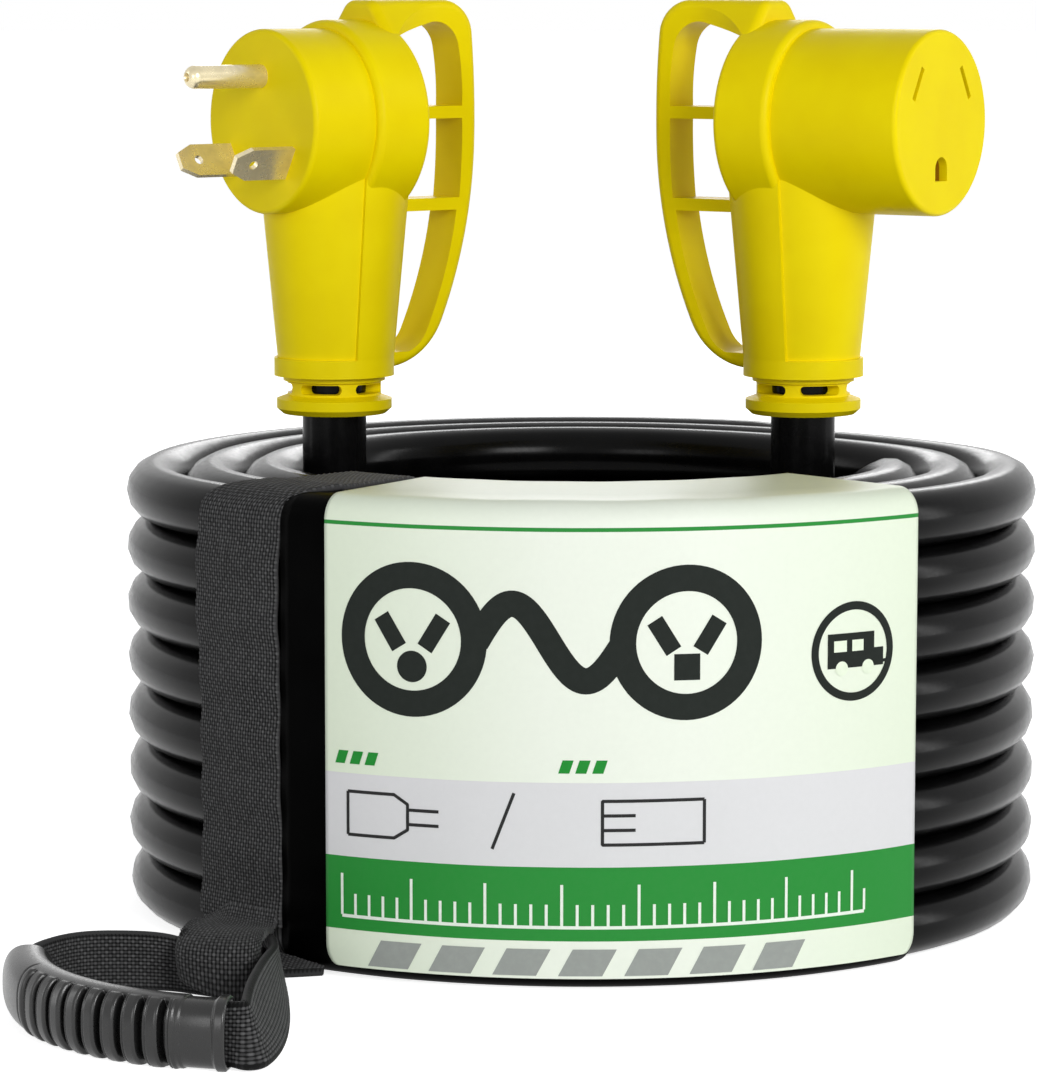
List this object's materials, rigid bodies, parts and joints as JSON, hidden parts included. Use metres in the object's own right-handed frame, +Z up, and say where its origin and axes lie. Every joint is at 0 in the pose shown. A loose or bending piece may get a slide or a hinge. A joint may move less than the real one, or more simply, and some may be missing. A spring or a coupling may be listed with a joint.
{
  "type": "shore power extension cord",
  "caption": "Heavy three-core outdoor extension cord for a caravan, wound in a tied coil, with right-angle plug and receptacle heads that have pulling grips.",
  "frame": {"origin": "on the floor, at the upright axis of the coil", "axes": "+Z up along the coil's axis, -Y towards the side that the label card faces, +X towards the receptacle's side"},
  "size_m": [0.2885, 0.3673, 0.2672],
  "materials": {
    "yellow_pvc": "satin moulded PVC",
    "contact_brass": "bright drawn brass",
    "carrier_plastic": "moulded inner plastic",
    "cable_jacket": "glossy extruded jacket",
    "core_black": "extruded insulation",
    "core_white": "extruded insulation",
    "core_green": "extruded insulation",
    "crimp_metal": "tinned",
    "wrap_film": "smooth film",
    "label_card": "coated printed card",
    "webbing": "coarse woven polypropylene",
    "grip_rubber": "smooth moulded rubber"
  },
  "bodies": {
    "bundle": {"plug_body": "yellow_pvc", "plug_grip_shell": "yellow_pvc", "plug_strain_relief": "yellow_pvc", "plug_line_blade": "contact_brass", "plug_neutral_blade": "contact_brass", "plug_ground_pin": "contact_brass", "plug_blade_carrier": "carrier_plastic", "plug_line_core": "core_black", "plug_neutral_core": "core_white", "plug_ground_core": "core_green", "plug_crimps": "crimp_metal", "plug_cable_sleeve": "cable_jacket", "socket_body": "yellow_pvc", "socket_grip_shell": "yellow_pvc", "socket_strain_relief": "yellow_pvc", "socket_line_contact": "contact_brass", "socket_neutral_contact": "contact_brass", "socket_ground_contact": "contact_brass", "socket_contact_carrier": "carrier_plastic", "socket_line_core": "core_black", "socket_neutral_core": "core_white", "socket_ground_core": "core_green", "socket_crimps": "crimp_metal", "socket_cable_sleeve": "cable_jacket", "cable_coil": "cable_jacket", "cable_plug_lead": "cable_jacket", "cable_socket_lead": "cable_jacket", "bundle_wrap": "wrap_film", "label_card": "label_card", "strap_webbing": "webbing"},
    "carry_handle": {"handle_webbing": "webbing", "carry_grip": "grip_rubber"}
  },
  "joints": [
    {"name": "carry_handle_lift", "type": "hinge", "parent": "bundle", "child": "carry_handle", "pos_m": [-0.09865, -0.09934, 0.0174], "axis": [-0.7096, 0.7046, 0], "range_deg": [0, 90]}
  ]
}
